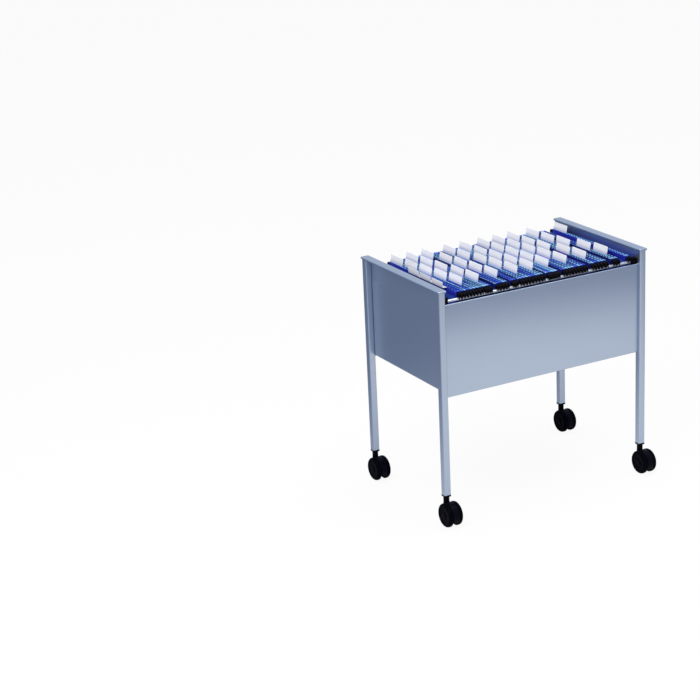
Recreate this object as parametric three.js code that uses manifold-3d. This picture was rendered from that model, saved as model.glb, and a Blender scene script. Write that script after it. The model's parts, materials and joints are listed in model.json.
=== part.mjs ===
// A mobile file cart: two end frames on swivel casters, joined by folded front and back panels. Behind the
// upper edge of each panel runs a rod, and a row of hanging files slides along the two rods.
// Millimetres, +Z up, +X along the row of files, +Y towards the back. The origin is on the floor.
import * as THREE from "three";
import { mergeVertices } from "three/addons/utils/BufferGeometryUtils.js";
import Module from "manifold-3d";

// End frames
const CART_HEIGHT = 594;
const FRAME_LENGTH = 600;
const LEG_SIDE = 18;
const LEG_WALL = 1.5;
const LEG_EDGE_RADIUS = 2;
const END_RAIL_HEIGHT = 4.5;
const END_RAIL_WALL = 1.2;
const END_RAIL_OVERHANG = 2.5;
const END_RAIL_EDGE_RADIUS = 1.5;

// End panels. The inset is how far the face stands out from the inner sides of the legs.
const SHEET = 1.2;
const END_PANEL_HEIGHT = 253;
const END_PANEL_INSET = 2;
const END_PANEL_FLANGE = 10;
const END_PANEL_FOOT = 5;

// Front and back panels. The drop is from the top of the cart, the setback from the legs' outer sides.
const PANEL_HEIGHT = 232;
const PANEL_DROP = 38.5;
const PANEL_SETBACK = 8;
const PANEL_FOOT = 10;
const PANEL_FOOT_RETURN = 7;
const PANEL_HEM_DEPTH = 13;
const HEM_GAP = 1;
const HEM_FLAT = 0.2;
const BEND_RADIUS = 1.4;
const FLANGE_MARGIN = 8;

// Hanging rods and the holders at their ends. The rise is from the top of the panels to the top of the
// rods, and the hook room is between a rod and the panel in front of it.
const ROD_SPACING = 330;
const ROD_DIAMETER = 8;
const ROD_RISE = 8;
const ROD_HOOK_ROOM = 4.6;
const ROD_END_WALL = 2;
const HOLDER_LENGTH = 14;
const HOLDER_WALL = 2;
const HOLDER_RISE = 7.5;
const HOLDER_FOOT = 1.5;

// Casters. The neck height is from the top of the wheels to the insert in the leg.
const WHEEL_DIAMETER = 60;
const WHEEL_WIDTH = 11;
const WHEEL_DISH = 1;
const WHEEL_SHOULDER = 4;
const WHEEL_RIM = 5;
const WHEEL_WEB = 4;
const HUB_DIAMETER = 16;
const AXLE_DIAMETER = 6;
const CASTER_TRAIL = 18;
const HOOD_WIDTH = 16.5;
const HOOD_INSET = 1;
const HOOD_EDGE = 1.5;
const HOOD_FRONT_ANGLE = 205;
const HOOD_BACK_ANGLE = -20;
const NECK_HEIGHT = 11.5;
const NECK_DIAMETER = 15;
const NECK_MARGIN = 0.5;
const STEM_DIAMETER = 8;
const STEM_IN_HOOD = 28.5;
const STEM_IN_LEG = 24;
const INSERT_FLANGE = 4.5;
const INSERT_LENGTH = 30;

// Hanging files. The rise is from the top of the rods to the top of the hems. Tabs lean to the right, but
// spare tabs on the first files have flopped over to the left.
const CARD_MARGIN = 7;
const CARD_DEPTH = 240;
const CARD_THICKNESS = 0.6;
const CARD_FOLD = 2;
const FILE_RISE = 12.5;
const LEAF_GAP = 0.3;
const STRIP_HEIGHT = 12;
const STRIP_THICKNESS = 1.2;
const HOOK_THICKNESS = 2.6;
const HOOK_BEAK = 2;
const HOOK_DROP = 2;
const HOOK_CHAMFER = 2;
const HOOK_ROOM = 0.6;
const TAB_WIDTH = 58;
const TAB_HEIGHT = 18.5;
const TAB_THICKNESS = 0.8;
const TAB_LEAN = 4.5;
const TAB_SEAT = 6;
const TAB_FRONT_MARGIN = 37;
const TAB_STEP = 55;
const TAB_PLACES = 5;
const SPARE_TABS = [2, 3, 4];
const SPARE_TAB_HEIGHT = 13;
const SPARE_TAB_LEAN = -13;
const FILES_PER_NODE = 4;

// The row of files from left to right. The files of a bundle stand pressed together at its pitch, and the
// gap is the free length of rod after it.
const FIRST_GAP = 31.6;
const BUNDLES = [
  { files: 8, pitch: 8.8, gap: 3.6 },
  { files: 3, pitch: 7.3, gap: 13.1 },
  { files: 4, pitch: 8.8, gap: 8.8 },
  { files: 2, pitch: 8, gap: 6 },
  { files: 8, pitch: 9, gap: 8 },
  { files: 5, pitch: 7.2, gap: 10 },
  { files: 8, pitch: 9, gap: 13 },
  { files: 5, pitch: 9.6, gap: 15 },
  { files: 1, pitch: 9, gap: 0.8 },
];
const LIFT_FILE = { files: 1, pitch: 10, gap: 24.2 };
const END_FILE = { files: 1, pitch: 10, gap: 0.6 };

// Clearances, the overlap of pieces that are joined into one, and how far a cut runs past its piece
const FIT = 0.3;
const SLIP = 0.2;
const WHEEL_PLAY = 0.5;
const FUSE = 0.2;
const OVERCUT = 1;

// Roundness of turned and bent pieces
const WHEEL_SIDES = 16;
const PIN_SIDES = 12;
const HOOD_STEPS = 9;
const BEND_STEPS = 2;
const EDGE_STEPS = 2;

const paint = { color: 0xa3abbd, roughness: 0.38, metalness: 0.65 };
const blackPlastic = { color: 0x121214, roughness: 0.55, metalness: 0 };
const steel = { color: 0xb8babd, roughness: 0.3, metalness: 1 };
const blueCard = { color: 0x2a55c8, roughness: 0.75, metalness: 0 };
const whiteTab = { color: 0xeceaf4, roughness: 0.4, metalness: 0 };

const wasm = await Module();
wasm.setup();

function solidOf(geometry) {
  const bare = geometry.index ? geometry.toNonIndexed() : geometry.clone();
  bare.deleteAttribute("normal");
  bare.deleteAttribute("uv");
  const merged = mergeVertices(bare, 1e-4);
  return new wasm.Manifold(
    new wasm.Mesh({
      numProp: 3,
      vertProperties: merged.attributes.position.array,
      triVerts: new Uint32Array(merged.index.array),
    }),
  );
}

function geometryOf(solid) {
  const found = solid.getMesh();
  const geometry = new THREE.BufferGeometry();
  geometry.setAttribute("position", new THREE.BufferAttribute(found.vertProperties, 3));
  geometry.setIndex(new THREE.BufferAttribute(found.triVerts, 1));
  geometry.computeVertexNormals();
  return geometry;
}

function join(geometries) {
  return geometryOf(geometries.map(solidOf).reduce((whole, piece) => whole.add(piece)));
}

function cut(geometry, tools) {
  return geometryOf(tools.map(solidOf).reduce((whole, tool) => whole.subtract(tool), solidOf(geometry)));
}

const TURNS = {
  x: new THREE.Matrix4().makeBasis(
    new THREE.Vector3(0, 1, 0),
    new THREE.Vector3(0, 0, 1),
    new THREE.Vector3(1, 0, 0),
  ),
  y: new THREE.Matrix4().makeBasis(
    new THREE.Vector3(1, 0, 0),
    new THREE.Vector3(0, 0, 1),
    new THREE.Vector3(0, -1, 0),
  ),
  z: new THREE.Matrix4(),
};

// An outline carried straight along an axis: (y, z) along x, (x, z) along y, (x, y) along z.
function prism(outline, axis, from, to, options = {}) {
  const bevel = options.bevel ?? 0;
  const geometry = new THREE.ExtrudeGeometry(outline, {
    depth: to - from - 2 * bevel,
    bevelEnabled: bevel > 0,
    bevelSize: bevel,
    bevelThickness: bevel,
    bevelOffset: -bevel,
    bevelSegments: 1,
    curveSegments: options.steps ?? EDGE_STEPS,
  });
  geometry.translate(0, 0, bevel);
  geometry.applyMatrix4(TURNS[axis]);
  const start = { x: [from, 0, 0], y: [0, to, 0], z: [0, 0, from] };
  return geometry.translate(...start[axis]);
}

function polygon(points) {
  return new THREE.Shape(points.map(([u, v]) => new THREE.Vector2(u, v)));
}

function rectangle(left, right, low, high) {
  return polygon([
    [left, low],
    [right, low],
    [right, high],
    [left, high],
  ]);
}

function block(x, y, z) {
  return prism(rectangle(x[0], x[1], y[0], y[1]), "z", z[0], z[1]);
}

function roundedSquare(side, radius) {
  const half = side / 2;
  const shape = new THREE.Shape();
  shape.moveTo(radius - half, -half);
  shape.lineTo(half - radius, -half);
  shape.absarc(half - radius, radius - half, radius, -Math.PI / 2, 0);
  shape.lineTo(half, half - radius);
  shape.absarc(half - radius, half - radius, radius, 0, Math.PI / 2);
  shape.lineTo(radius - half, half);
  shape.absarc(radius - half, half - radius, radius, Math.PI / 2, Math.PI);
  shape.lineTo(-half, radius - half);
  shape.absarc(radius - half, radius - half, radius, Math.PI, 1.5 * Math.PI);
  return shape;
}

// A profile of [radius, height] points turned about a vertical axis.
function turned(profile, sides) {
  return new THREE.LatheGeometry(
    profile.map(([radius, height]) => new THREE.Vector2(radius, height)),
    sides,
  ).rotateX(Math.PI / 2);
}

function pin(diameter, low, high) {
  const radius = diameter / 2;
  return turned(
    [
      [0, low],
      [radius, low],
      [radius, high],
      [0, high],
    ],
    PIN_SIDES,
  );
}

// The corners of a sheet's middle line, each replaced by a bend of the given radius.
function bent(corners, radius) {
  const path = [corners[0]];
  for (let i = 1; i < corners.length - 1; i++) {
    const corner = new THREE.Vector2(...corners[i]);
    const before = new THREE.Vector2(...corners[i - 1]).sub(corner).normalize();
    const after = new THREE.Vector2(...corners[i + 1]).sub(corner).normalize();
    const half = before.angleTo(after) / 2;
    const start = corner.clone().addScaledVector(before, radius / Math.tan(half));
    const end = corner.clone().addScaledVector(after, radius / Math.tan(half));
    const centre = before.add(after).normalize().multiplyScalar(radius / Math.sin(half)).add(corner);
    const arm = start.clone().sub(centre);
    const turn = Math.atan2(arm.cross(end.clone().sub(centre)), arm.dot(end.sub(centre)));
    for (let step = 0; step <= BEND_STEPS; step++) {
      const point = arm.clone().rotateAround(new THREE.Vector2(), (turn * step) / BEND_STEPS).add(centre);
      path.push([point.x, point.y]);
    }
  }
  path.push(corners[corners.length - 1]);
  return path;
}

// The outline of a sheet of constant thickness whose middle line is the given path.
function sheetOutline(path, thickness) {
  const sides = [[], []];
  path.forEach((point, i) => {
    const here = new THREE.Vector2(...point);
    const ahead = new THREE.Vector2(...(path[i + 1] ?? point)).sub(here);
    const behind = here.clone().sub(new THREE.Vector2(...(path[i - 1] ?? point)));
    const into = (behind.lengthSq() > 0 ? behind : ahead).clone().normalize();
    const out = (ahead.lengthSq() > 0 ? ahead : behind).clone().normalize();
    const mitre = new THREE.Vector2(-into.y - out.y, into.x + out.x).divideScalar(1 + into.dot(out));
    sides[0].push(here.clone().addScaledVector(mitre, thickness / 2));
    sides[1].unshift(here.clone().addScaledVector(mitre, -thickness / 2));
  });
  return new THREE.Shape([...sides[0], ...sides[1]]);
}

const cart = new THREE.Group();

function add(name, geometry, look, parent = cart) {
  const mesh = new THREE.Mesh(geometry, new THREE.MeshStandardMaterial(look));
  mesh.name = name;
  parent.add(mesh);
  return mesh;
}

// The middle lines of the front panel's layers, from the rod out to the face. The back panel's are the
// same on the other side, and the depth of the frame follows from them.
const rodY = -ROD_SPACING / 2;
const hemFaceY = rodY - ROD_DIAMETER / 2 - ROD_HOOK_ROOM;
const hemY = hemFaceY - SHEET / 2;
const faceY = hemY - HEM_GAP - SHEET;
const frameY = SHEET / 2 + PANEL_SETBACK - faceY;

const legX = (FRAME_LENGTH - LEG_SIDE) / 2;
const legY = frameY - LEG_SIDE / 2;
const innerX = FRAME_LENGTH / 2 - LEG_SIDE;
const innerY = frameY - LEG_SIDE;
const legTop = CART_HEIGHT - END_RAIL_WALL - SLIP;
const legBottom = WHEEL_DIAMETER + NECK_HEIGHT + INSERT_FLANGE;
const panelTop = CART_HEIGHT - PANEL_DROP;
const panelBottom = panelTop - PANEL_HEIGHT;
const hemFoot = panelTop - PANEL_HEM_DEPTH;
const rodTop = panelTop + ROD_RISE;
const rodMiddle = rodTop - ROD_DIAMETER / 2;
const holderEnd = innerX - SLIP;
const rodEnd = holderEnd - ROD_END_WALL;
const CORNERS = [
  { name: "front_left", x: -1, y: -1 },
  { name: "front_right", x: 1, y: -1 },
  { name: "back_left", x: -1, y: 1 },
  { name: "back_right", x: 1, y: 1 },
];
const ENDS = [
  { name: "left", side: -1 },
  { name: "right", side: 1 },
];

// A square tube, open at both ends.
function legTube() {
  const outline = roundedSquare(LEG_SIDE, LEG_EDGE_RADIUS);
  const bore = LEG_SIDE / 2 - LEG_WALL;
  outline.holes.push(rectangle(-bore, bore, -bore, bore));
  return prism(outline, "z", legBottom, legTop);
}

// A cap channel, open below, that sits over the tops of two legs and the panel between them.
function endRail() {
  const half = LEG_SIDE / 2 + END_RAIL_OVERHANG;
  const reach = frameY + END_RAIL_OVERHANG;
  const low = CART_HEIGHT - END_RAIL_HEIGHT;
  const round = END_RAIL_EDGE_RADIUS;
  const outline = new THREE.Shape();
  outline.moveTo(-half, low);
  outline.lineTo(half, low);
  outline.lineTo(half, CART_HEIGHT - round);
  outline.absarc(half - round, CART_HEIGHT - round, round, 0, Math.PI / 2);
  outline.lineTo(round - half, CART_HEIGHT);
  outline.absarc(round - half, CART_HEIGHT - round, round, Math.PI / 2, Math.PI);
  const hollow = block(
    [END_RAIL_WALL - half, half - END_RAIL_WALL],
    [END_RAIL_WALL - reach, reach - END_RAIL_WALL],
    [low - OVERCUT, CART_HEIGHT - END_RAIL_WALL],
  );
  return cut(prism(outline, "y", -reach, reach), [hollow]);
}

// A sheet between two legs, its sides and foot folded inwards. Built for the left end, where inwards is
// +X.
function endPanel() {
  const face = -innerX - END_PANEL_INSET;
  const edge = innerY - SLIP;
  const low = legTop - END_PANEL_HEIGHT;
  const sheet = block([face, face + SHEET], [-edge, edge], [low, legTop]);
  const foot = block([face, face + END_PANEL_FOOT], [-edge, edge], [low, low + SHEET]);
  const sides = [
    [-edge, SHEET - edge],
    [edge - SHEET, edge],
  ].map((y) => block([face, face + END_PANEL_FLANGE], y, [low, hemFoot - FLANGE_MARGIN]));
  return join([sheet, foot, ...sides]);
}

// One sheet, folded into a foot below and into a hem above, with a flange at each end against the leg, as
// deep as the hem. Built for the front, where the outer face looks to -Y.
function longPanel() {
  const top = panelTop - SHEET / 2;
  const low = panelBottom + SHEET / 2;
  const hemRadius = (HEM_GAP + SHEET - HEM_FLAT) / 2;
  const foot = [
    [faceY + PANEL_FOOT, low + PANEL_FOOT_RETURN],
    [faceY + PANEL_FOOT, low],
    [faceY, low],
    [faceY, hemFoot - HEM_GAP],
  ];
  const hem = [
    [faceY, hemFoot],
    [faceY, top],
    [hemY, top],
    [hemY, hemFoot],
  ];
  const profile = [...bent(foot, BEND_RADIUS), ...bent(hem, hemRadius)];
  const length = innerX - SLIP;
  const sheet = prism(sheetOutline(profile, SHEET), "x", -length, length);
  const flanges = [
    [-length, SHEET - length],
    [length - SHEET, length],
  ].map((x) =>
    block(
      x,
      [faceY, hemFaceY],
      [panelBottom + PANEL_FOOT_RETURN + FLANGE_MARGIN, hemFoot - FLANGE_MARGIN],
    ),
  );
  return join([sheet, ...flanges]);
}

function hangingRod() {
  return pin(ROD_DIAMETER, -rodEnd, rodEnd).rotateY(Math.PI / 2);
}

// A block against the leg and the panel's hem, with a blind bore for the end of a rod. Its origin is the
// rod's middle line, at the middle of the cart. Built for the front left corner.
function rodHolder() {
  const radius = ROD_DIAMETER / 2 + SLIP;
  const body = block(
    [-holderEnd, HOLDER_LENGTH - holderEnd],
    [hemFaceY + SLIP - rodY, radius + HOLDER_WALL],
    [-radius - HOLDER_FOOT, ROD_DIAMETER / 2 + HOLDER_RISE],
  );
  const bore = pin(2 * radius, -rodEnd - SLIP, OVERCUT + HOLDER_LENGTH - holderEnd).rotateY(Math.PI / 2);
  return cut(body, [bore]);
}

// A flange under the leg and a spigot inside it, bored for the stem. Its origin is on the stem's axis, at
// the leg's lower end.
function legInsert() {
  const spigot = LEG_SIDE / 2 - LEG_WALL - FIT;
  const flange = prism(roundedSquare(LEG_SIDE, LEG_EDGE_RADIUS), "z", -INSERT_FLANGE, -SLIP);
  const plug = block([-spigot, spigot], [-spigot, spigot], [-SLIP - FUSE, INSERT_LENGTH]);
  const bore = pin(STEM_DIAMETER + 2 * FIT, -INSERT_FLANGE - OVERCUT, STEM_IN_LEG + FIT);
  return cut(join([flange, plug]), [bore]);
}

// A pin with a chamfered head. Same origin as the insert.
function casterStem() {
  const radius = STEM_DIAMETER / 2;
  return turned(
    [
      [0, -INSERT_FLANGE - STEM_IN_HOOD],
      [radius, -INSERT_FLANGE - STEM_IN_HOOD],
      [radius, STEM_IN_LEG - radius / 2],
      [radius / 2, STEM_IN_LEG],
      [0, STEM_IN_LEG],
    ],
    PIN_SIDES,
  );
}

const axleHeight = WHEEL_DIAMETER / 2;

// A round-topped housing between the wheels, with a neck up to the insert. Its origin is the axle's
// middle, and the stem is behind it.
function casterHood() {
  const radius = WHEEL_DIAMETER / 2 - HOOD_INSET;
  const front = THREE.MathUtils.degToRad(HOOD_FRONT_ANGLE);
  const back = THREE.MathUtils.degToRad(HOOD_BACK_ANGLE);
  const outline = new THREE.Shape();
  outline.absarc(0, 0, radius, back, front);
  const body = prism(outline, "x", -HOOD_WIDTH / 2, HOOD_WIDTH / 2, { bevel: HOOD_EDGE, steps: HOOD_STEPS });
  const neckRadius = NECK_DIAMETER / 2;
  const footRadius = HOOD_WIDTH / 2 - NECK_MARGIN;
  const shoulder = Math.sqrt(radius ** 2 - CASTER_TRAIL ** 2);
  const insertFace = legBottom - INSERT_FLANGE - axleHeight;
  const neckTop = insertFace - SLIP;
  const neck = turned(
    [
      [0, 0],
      [footRadius, 0],
      [footRadius, shoulder],
      [neckRadius, shoulder + footRadius],
      [neckRadius, neckTop],
      [0, neckTop],
    ],
    PIN_SIDES,
  ).translate(0, CASTER_TRAIL, 0);
  const socketFloor = insertFace - STEM_IN_HOOD - FIT;
  const socket = pin(STEM_DIAMETER + 2 * SLIP, socketFloor, neckTop + OVERCUT);
  const bore = pin(AXLE_DIAMETER + 2 * SLIP, -HOOD_WIDTH, HOOD_WIDTH).rotateY(Math.PI / 2);
  return cut(join([body, neck]), [socket.translate(0, CASTER_TRAIL, 0), bore]);
}

const wheelInner = HOOD_WIDTH / 2 + WHEEL_PLAY;
const wheelOuter = wheelInner + WHEEL_WIDTH;
const axleEnd = wheelOuter - WHEEL_DISH - WHEEL_WEB + FIT;

function casterAxle() {
  return pin(AXLE_DIAMETER, -axleEnd, axleEnd).rotateY(Math.PI / 2);
}

// A cupped wheel: a dished outer face, a rim and a hub with a blind bore. Built for the side at +X. One of
// its flats is at the bottom.
function casterWheel() {
  const flat = Math.cos(Math.PI / WHEEL_SIDES);
  const tread = WHEEL_DIAMETER / 2 / flat;
  const hub = HUB_DIAMETER / 2;
  const bore = (AXLE_DIAMETER / 2 + FIT) / flat;
  const web = wheelOuter - WHEEL_DISH - WHEEL_WEB / 2;
  return turned(
    [
      [0, axleEnd + FIT],
      [bore, axleEnd + FIT],
      [bore, wheelInner],
      [hub, wheelInner],
      [hub, web],
      [tread - WHEEL_RIM, web],
      [tread - WHEEL_RIM, wheelInner],
      [tread - WHEEL_SHOULDER, wheelInner],
      [tread, wheelInner + WHEEL_SHOULDER],
      [tread, wheelOuter - WHEEL_SHOULDER],
      [tread - WHEEL_SHOULDER, wheelOuter],
      [tread - WHEEL_RIM, wheelOuter],
      [tread - WHEEL_RIM - WHEEL_DISH, wheelOuter - WHEEL_DISH],
      [0, wheelOuter - WHEEL_DISH],
    ],
    WHEEL_SIDES,
  )
    .rotateZ(Math.PI / WHEEL_SIDES)
    .rotateY(Math.PI / 2);
}

for (const corner of CORNERS) {
  const foot = new THREE.Group();
  foot.position.set(corner.x * legX, corner.y * legY, 0);
  cart.add(foot);
  add(`${corner.name}_leg`, legTube(), paint, foot);
  const insert = new THREE.Group();
  insert.position.z = legBottom;
  foot.add(insert);
  add(`${corner.name}_leg_insert`, legInsert(), blackPlastic, insert);
  add(`${corner.name}_caster_stem`, casterStem(), steel, insert);
  const caster = new THREE.Group();
  caster.position.set(0, -CASTER_TRAIL, axleHeight);
  foot.add(caster);
  add(`${corner.name}_caster_hood`, casterHood(), blackPlastic, caster);
  add(`${corner.name}_caster_axle`, casterAxle(), steel, caster);
  add(`${corner.name}_right_wheel`, casterWheel(), blackPlastic, caster);
  add(`${corner.name}_left_wheel`, casterWheel(), blackPlastic, caster).rotation.z = Math.PI;
}

for (const end of ENDS) {
  add(`${end.name}_end_rail`, endRail(), paint).position.x = end.side * legX;
  add(`${end.name}_end_panel`, endPanel(), paint).rotation.z = end.side > 0 ? Math.PI : 0;
}
add("front_panel", longPanel(), paint);
add("back_panel", longPanel(), paint).rotation.z = Math.PI;

for (const [name, side] of [
  ["front", 1],
  ["back", -1],
]) {
  const rail = new THREE.Group();
  rail.position.set(0, side * rodY, rodMiddle);
  cart.add(rail);
  add(`${name}_hanging_rod`, hangingRod(), steel, rail);
  for (const end of ENDS) {
    const holder = add(`${name}_${end.name}_rod_holder`, rodHolder(), blackPlastic, rail);
    holder.scale.set(-end.side, side, 1);
  }
}

// A hem is a sleeve of card round its strip.
const hemThickness = STRIP_THICKNESS + 2 * (FIT + CARD_THICKNESS);
const fileTop = rodTop + FILE_RISE;
const stripTop = fileTop - CARD_THICKNESS - FIT;
const stripBottom = stripTop - STRIP_HEIGHT;
const hemBottom = stripBottom - FIT - CARD_THICKNESS;
const cardBottom = fileTop - CARD_DEPTH;
const cardY = ROD_SPACING / 2 - CARD_MARGIN;

// The cross-section of files pressed together: each file is a narrow V of two leaves with a hem along
// each upper edge, and the hems of neighbours touch.
function cardOutline(left, pitch, files) {
  const inside = [];
  const outside = [];
  const leaf = LEAF_GAP + CARD_THICKNESS;
  const fold = CARD_FOLD / 2;
  for (let file = 0; file < files; file++) {
    const start = left + file * pitch;
    const end = start + pitch;
    const middle = (start + end) / 2;
    inside.push([start + hemThickness, fileTop], [start + hemThickness, hemBottom]);
    inside.push([start + leaf, hemBottom], [middle - fold, cardBottom + CARD_THICKNESS]);
    inside.push([middle + fold, cardBottom + CARD_THICKNESS], [end - leaf, hemBottom]);
    inside.push([end - hemThickness, hemBottom], [end - hemThickness, fileTop]);
    outside.push([start + LEAF_GAP, hemBottom], [middle - fold - CARD_THICKNESS, cardBottom]);
    outside.push([middle + fold + CARD_THICKNESS, cardBottom], [end - LEAF_GAP, hemBottom]);
  }
  const right = left + files * pitch;
  return polygon([
    [left, hemBottom],
    [left, fileTop],
    ...inside,
    [right, fileTop],
    [right, hemBottom],
    ...outside.reverse(),
  ]);
}

// The hooked end of a strip at the front: an arm out of the hem that drops over the rod.
function hookOutline(root) {
  const notch = ROD_DIAMETER / 2 + HOOK_ROOM;
  const seat = rodTop + FIT;
  const tip = rodY - notch - HOOK_BEAK;
  return polygon([
    [root, stripTop],
    [tip + HOOK_CHAMFER, stripTop],
    [tip, stripTop - HOOK_CHAMFER],
    [tip, rodTop - HOOK_DROP],
    [rodY - notch, rodTop - HOOK_DROP],
    [rodY - notch, seat],
    [rodY + notch, seat],
    [rodY + notch, stripBottom],
    [root, stripBottom],
  ]);
}

// The hooks at both ends of what stands between two places along the row.
function hookPair(from, to, root) {
  const front = prism(hookOutline(root), "x", from, to);
  const back = prism(hookOutline(root), "x", -to, -from).rotateZ(Math.PI);
  return [front, back];
}

// A tab in one of the places along a hem, counted from the back. Above its foot it leans over.
function tabPlate(x, place, foot, height = TAB_HEIGHT, lean = TAB_LEAN) {
  const front = TAB_FRONT_MARGIN - cardY + TAB_STEP * (TAB_PLACES - 1 - place);
  const top = fileTop + height;
  const outline = polygon([
    ...foot.map((low) => [x, low]).reverse(),
    ...foot.map((low) => [x + TAB_THICKNESS, low]),
    [x + TAB_THICKNESS + lean, top],
    [x + lean, top],
  ]);
  return prism(outline, "y", front, front + TAB_WIDTH);
}

// Neighbouring files of a bundle as one solid: the cards, the hooks of their strips and their tabs.
function fileSet(left, pitch, files, places, spares = []) {
  const start = left + SLIP;
  const step = (files * pitch - 2 * SLIP) / files;
  const pieces = [prism(cardOutline(start, step, files), "y", -cardY, cardY)];
  const margin = (hemThickness - HOOK_THICKNESS) / 2;
  for (let hem = 0; hem <= files; hem++) {
    const seam = start + hem * step;
    const from = hem === 0 ? seam + margin : seam - margin - HOOK_THICKNESS;
    const to = hem === files ? seam - margin : seam + margin + HOOK_THICKNESS;
    pieces.push(...hookPair(from, to, FUSE - cardY));
  }
  places.forEach((place, file) => {
    const middle = start + file * step + hemThickness / 2;
    pieces.push(tabPlate(middle - TAB_THICKNESS / 2, place, [fileTop - FUSE]));
  });
  spares.forEach((place, file) => {
    const edge = start + file * step + FIT;
    pieces.push(tabPlate(edge, place, [fileTop - FUSE], SPARE_TAB_HEIGHT, SPARE_TAB_LEAN));
  });
  return join(pieces);
}

// The files fill the rods between the holders, so pitches and gaps stretch with their length.
const row = [...BUNDLES, LIFT_FILE, END_FILE];
const rowEnd = holderEnd - HOLDER_LENGTH - SLIP;
const rowLength = row.reduce((sum, stand) => sum + stand.files * stand.pitch + stand.gap, FIRST_GAP);
const stretch = (2 * rowEnd) / rowLength;
const stands = [];
let reached = stretch * FIRST_GAP - rowEnd;
for (const stand of row) {
  stands.push({ files: stand.files, pitch: stretch * stand.pitch, left: reached });
  reached += stretch * (stand.files * stand.pitch + stand.gap);
}
const endStand = stands.pop();
const liftStand = stands.pop();

let placed = 0;
stands.forEach(({ files, pitch, left }, index) => {
  for (let first = 0; first < files; first += FILES_PER_NODE) {
    const count = Math.min(FILES_PER_NODE, files - first);
    const places = Array.from({ length: count }, (_, file) => (placed + file) % TAB_PLACES);
    const spares = placed === 0 ? SPARE_TABS : [];
    const name = `bundle_${index + 1}_files_${first + 1}_to_${first + count}`;
    add(name, fileSet(left + first * pitch, pitch, count, places, spares), blueCard);
    placed += count;
  }
});
add("end_file", fileSet(endStand.left, endStand.pitch, 1, []), blueCard);

// The file that is drawn out, with its card, its two strips and its tab as separate pieces.
const liftLeft = liftStand.left + SLIP;
const liftWidth = liftStand.pitch - 2 * SLIP;
const liftHems = { left: liftLeft, right: liftLeft + liftWidth - hemThickness };

function liftCard() {
  const sleeves = Object.values(liftHems).map((hem) =>
    block(
      [hem + CARD_THICKNESS, hem + hemThickness - CARD_THICKNESS],
      [-cardY - OVERCUT, cardY + OVERCUT],
      [stripBottom - FIT, stripTop + FIT],
    ),
  );
  return cut(prism(cardOutline(liftLeft, liftWidth, 1), "y", -cardY, cardY), sleeves);
}

function liftStrip(hem) {
  const middle = hem + hemThickness / 2;
  const root = -cardY - FIT;
  const bar = block(
    [middle - STRIP_THICKNESS / 2, middle + STRIP_THICKNESS / 2],
    [root - FUSE, FUSE - root],
    [stripBottom, stripTop],
  );
  return join([bar, ...hookPair(middle - HOOK_THICKNESS / 2, middle + HOOK_THICKNESS / 2, root)]);
}

add("lift_file_card", liftCard(), blueCard);
for (const [side, hem] of Object.entries(liftHems)) {
  add(`lift_file_${side}_strip`, liftStrip(hem), blackPlastic);
}
const liftTabFoot = [fileTop - TAB_SEAT, fileTop];
const liftTab = tabPlate(liftHems.left + hemThickness + FIT, placed % TAB_PLACES, liftTabFoot);
add("lift_file_tab", liftTab, whiteTab);

// The origin lies under the middle of the whole cart, whose casters trail to the front.
const frontReach = legY + CASTER_TRAIL + WHEEL_DIAMETER / 2;
const backReach = Math.max(frameY + END_RAIL_OVERHANG, legY - CASTER_TRAIL + WHEEL_DIAMETER / 2);
cart.position.y = (frontReach - backReach) / 2;

export default cart;
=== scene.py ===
"""The looks of a mobile file cart: painted sheet metal, twin-wheel casters and a row of hanging files.

Lengths are in metres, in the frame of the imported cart: +Z up, +X along the row of files, +Y to the back,
with the origin on the floor under the middle of the cart.
"""
import json
import math
import re

import bpy
import numpy as np
from bpy.props import FloatProperty, FloatVectorProperty, IntProperty, PointerProperty
from mathutils import Matrix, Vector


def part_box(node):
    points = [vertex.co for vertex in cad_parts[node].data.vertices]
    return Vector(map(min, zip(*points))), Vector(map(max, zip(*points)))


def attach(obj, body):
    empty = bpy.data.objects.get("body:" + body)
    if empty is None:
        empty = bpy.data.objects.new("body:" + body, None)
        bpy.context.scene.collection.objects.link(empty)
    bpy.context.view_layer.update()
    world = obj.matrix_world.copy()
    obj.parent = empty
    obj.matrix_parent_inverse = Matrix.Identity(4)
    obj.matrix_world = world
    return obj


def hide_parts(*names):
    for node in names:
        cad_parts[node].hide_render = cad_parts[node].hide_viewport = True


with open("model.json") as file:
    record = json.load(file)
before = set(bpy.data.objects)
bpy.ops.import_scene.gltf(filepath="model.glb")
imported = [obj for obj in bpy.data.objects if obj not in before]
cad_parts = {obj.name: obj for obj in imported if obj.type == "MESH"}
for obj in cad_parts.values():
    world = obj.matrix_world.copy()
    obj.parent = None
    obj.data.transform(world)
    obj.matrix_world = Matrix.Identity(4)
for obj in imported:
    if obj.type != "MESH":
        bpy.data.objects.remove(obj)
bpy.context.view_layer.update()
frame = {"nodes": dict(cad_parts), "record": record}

bl_info = {
    "name": "Mobile file cart",
    "version": (1, 0, 0),
    "blender": (4, 5, 0),
    "location": "View3D > Sidebar > File cart",
    "description": "Builds the visible pieces of a mobile file cart around its packed model",
    "category": "Object",
}

MM = 0.001
BODIES = frame["record"]["behaviour"]["bodies"]
CORNERS = ("front_left", "front_right", "back_left", "back_right")
BUNDLES = [body for body in BODIES if body.startswith("bundle_")]
TAB_PLACES = 5
SPARE_TABS = (2, 3, 4)
POOL_MIDDLE = (0.1, -1.2, 0)
POOL_EDGE = (0.5, 2.4)
POOL_NEAR = (1, 1, 1, 1)
POOL_FAR = (0.14, 0.18, 0.29, 1)
PALE_SKY = (0.56, 0.62, 0.72, 1)
SHARP_ANGLE = math.radians(32)
EDGE_STEPS = 4
TINY = 0.02 * MM


def corners_of(node):
    """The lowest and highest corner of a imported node, as arrays."""
    low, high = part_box(node)
    return np.array(low), np.array(high)


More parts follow.
